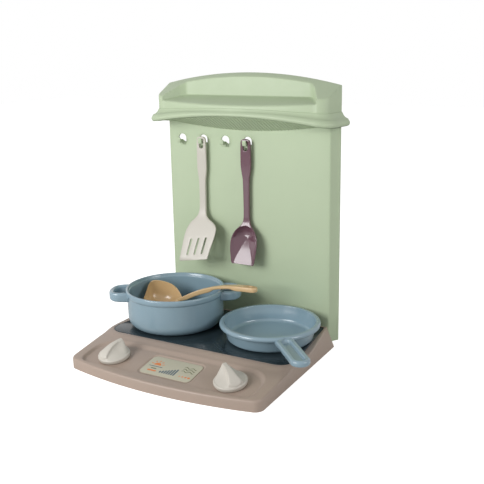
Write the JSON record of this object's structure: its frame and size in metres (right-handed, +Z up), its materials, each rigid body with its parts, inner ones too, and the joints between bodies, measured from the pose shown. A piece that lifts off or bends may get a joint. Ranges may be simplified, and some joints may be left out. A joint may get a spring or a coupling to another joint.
{
  "type": "toy kitchen hob",
  "caption": "Tabletop play hob with a back panel, a hood shelf, turning knobs, a pot, a pan and hanging utensils.",
  "frame": {"origin": "on the floor, on the centre line, in the plane of the back panel's front face", "axes": "+X to the right seen from the front, +Y to the back, +Z up"},
  "size_m": [0.3938, 0.3041, 0.4387],
  "materials": {
    "taupe_shell": "satin moulded taupe",
    "hob_gloss": "polished dark blue-grey",
    "label_print": "printed cream film",
    "knob_white": "satin off-white",
    "steel": "zinc plated",
    "green_panel": "satin moulded pale green",
    "blue_ware": "smooth dusty blue",
    "ladle_beige": "smooth warm beige",
    "spatula_cream": "smooth cream",
    "spoon_plum": "smooth plum"
  },
  "bodies": {
    "frame": {"base_shell": "taupe_shell", "hob_plate": "hob_gloss", "control_label": "label_print", "back_panel": "green_panel", "panel_screws": "steel", "hood_shell": "green_panel", "hood_soffit": "green_panel", "hood_screws": "steel"},
    "knob_left": {"knob_left": "knob_white", "knob_washer_left": "steel", "knob_screw_left": "steel"},
    "knob_right": {"knob_right": "knob_white", "knob_washer_right": "steel", "knob_screw_right": "steel"},
    "pot": {"pot": "blue_ware"},
    "pan": {"pan": "blue_ware"},
    "ladle": {"ladle": "ladle_beige"},
    "spatula": {"spatula": "spatula_cream"},
    "spoon": {"spoon": "spoon_plum"}
  },
  "joints": [
    {"name": "knob_left_turn", "type": "hinge", "parent": "frame", "child": "knob_left", "pos_m": [-0.1044, -0.235, 0.0179], "axis": [0, -0.1702, 0.9854], "continuous": true},
    {"name": "knob_right_turn", "type": "hinge", "parent": "frame", "child": "knob_right", "pos_m": [0.1044, -0.235, 0.0179], "axis": [0, -0.1702, 0.9854], "continuous": true},
    {"name": "pot_lift", "type": "slide", "parent": "frame", "child": "pot", "axis": [0, -0.7659, 0.6429], "range_m": [0, 0.12]},
    {"name": "pan_lift", "type": "slide", "parent": "frame", "child": "pan", "axis": [0.7999, -0.2, 0.5659], "range_m": [0, 0.12]},
    {"name": "ladle_lift", "type": "slide", "parent": "pot", "child": "ladle", "axis": [0, 0, 1], "range_m": [0, 0.08]},
    {"name": "spatula_swing", "type": "hinge", "parent": "frame", "child": "spatula", "pos_m": [-0.08145, -0.0067, 0.3248], "axis": [0, 1, 0], "range_deg": [-4, 18]},
    {"name": "spoon_swing", "type": "hinge", "parent": "frame", "child": "spoon", "pos_m": [0.00385, -0.0067, 0.3248], "axis": [0, 1, 0], "range_deg": [-18, 4]}
  ]
}
